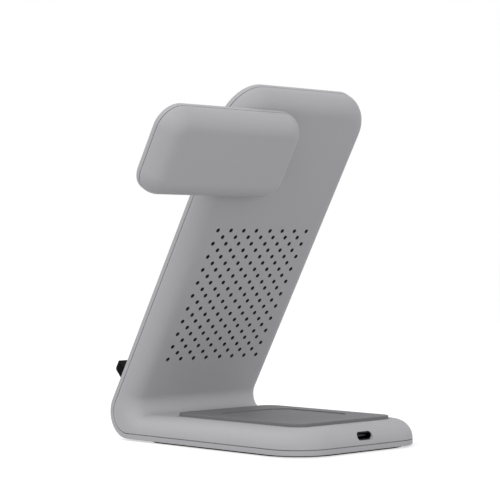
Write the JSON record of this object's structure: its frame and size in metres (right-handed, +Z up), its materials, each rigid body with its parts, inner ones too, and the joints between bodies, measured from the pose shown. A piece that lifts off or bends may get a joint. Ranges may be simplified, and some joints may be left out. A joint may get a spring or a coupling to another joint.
{
  "type": "three in one wireless charger",
  "caption": "Bent stand with a vented slanted back, a phone ledge, a side arm with a watch puck and a flat base with an earbud pad, for charging without plugs.",
  "frame": {"origin": "on the table, under the middle of the base", "axes": "+Z up; the phone face looks towards -Y and the watch arm reaches towards +X"},
  "size_m": [0.1225, 0.121, 0.151],
  "materials": {
    "housing": "satin",
    "black_rubber": "matte",
    "pad_grey": "matte",
    "puck_white": "gloss",
    "winding": "satin",
    "ferrite": "matte",
    "carrier_black": "matte",
    "board_green": "satin",
    "steel": "brushed",
    "lead_amber": "satin",
    "tongue_black": "matte"
  },
  "bodies": {
    "root": {"front_cover": "housing", "rear_shell": "housing", "arm_front_cover": "housing", "arm_rear_shell": "housing", "phone_ledge": "black_rubber", "foot_sheet": "black_rubber", "phone_pad": "pad_grey", "earbud_pad": "pad_grey", "watch_puck": "puck_white", "upper_phone_coil": "winding", "lower_phone_coil": "winding", "earbud_coil": "winding", "watch_coil": "winding", "phone_ferrite": "ferrite", "earbud_ferrite": "ferrite", "watch_ferrite": "ferrite", "coil_carrier": "carrier_black", "watch_magnet": "steel", "watch_board": "board_green", "main_board": "board_green", "watch_lead": "lead_amber", "coil_ribbon": "lead_amber", "usb_c_socket": "steel", "usb_c_tongue": "tongue_black", "counterweight": "steel", "case_screws": "steel", "ledge_screws": "steel", "arm_screws": "steel"}
  },
  "joints": []
}
